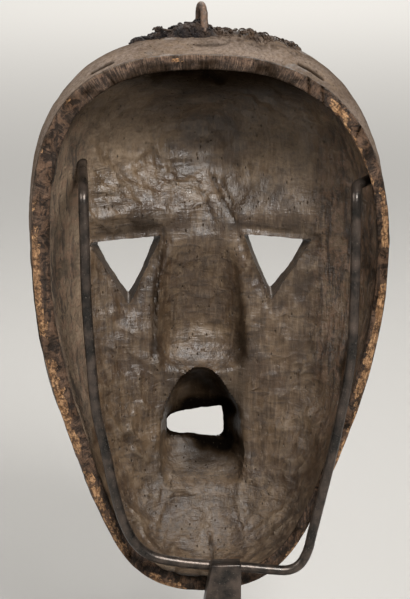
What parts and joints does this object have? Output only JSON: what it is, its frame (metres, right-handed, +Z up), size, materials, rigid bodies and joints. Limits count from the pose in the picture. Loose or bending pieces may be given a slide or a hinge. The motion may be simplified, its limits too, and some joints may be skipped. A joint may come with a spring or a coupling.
{
  "type": "dan mask on a display cradle",
  "caption": "Carved wooden Dan face mask, hollow behind, with pierced eyes and mouth and a hanging loop, held upright by a bent-rod cradle on a steel foot.",
  "frame": {"origin": "middle of the foot plate's underside", "axes": "+Z up, the mask's face looks to -Y and its hollow to +Y, X runs across the face"},
  "size_m": [0.1556, 0.12, 0.3394],
  "materials": {
    "mask_wood": "dark patinated hand-adzed hardwood, worn to tan along the rim",
    "fibre": "matted dark plant fibre with crusted soil",
    "loop_iron": "dull brown iron",
    "cradle_steel": "satin blackened steel"
  },
  "bodies": {
    "root": {"mask": "mask_wood", "fibre_band": "fibre", "hanging_loop": "loop_iron", "cradle_rod": "cradle_steel", "cradle_post": "cradle_steel", "cradle_foot": "cradle_steel"}
  },
  "joints": []
}
